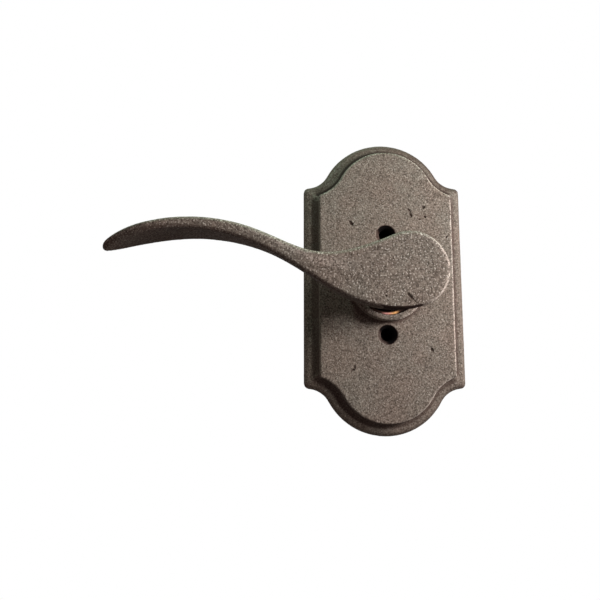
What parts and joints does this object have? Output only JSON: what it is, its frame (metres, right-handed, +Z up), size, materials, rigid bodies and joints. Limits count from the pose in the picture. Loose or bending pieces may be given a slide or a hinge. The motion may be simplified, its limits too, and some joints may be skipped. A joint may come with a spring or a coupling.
{
  "type": "dummy door lever",
  "caption": "Dummy door lever: a wave-shaped cast bronze handle fixed in an arched escutcheon plate with a coved border, a round collar and countersunk screw holes.",
  "frame": {"origin": "on the hub's axis in the plane of the plate's back, midway between the screw holes", "axes": "+X to the right seen from the front with the lever towards -X, +Y into the door, +Z up"},
  "size_m": [0.1493, 0.0577, 0.1344],
  "materials": {
    "cast_bronze": "grainy sand-cast dark bronze",
    "bright_bronze": "machined bright bronze",
    "plated_steel": "zinc plated sheet steel",
    "screw_steel": "zinc plated steel screw",
    "spring_steel": "blackened spring steel"
  },
  "bodies": {
    "root": {"escutcheon_plate": "cast_bronze", "lever_handle": "cast_bronze", "collar_bushing": "bright_bronze", "locking_plate": "plated_steel", "locking_plate_screws": "screw_steel", "thrust_washer": "plated_steel", "retaining_ring": "spring_steel"}
  },
  "joints": []
}
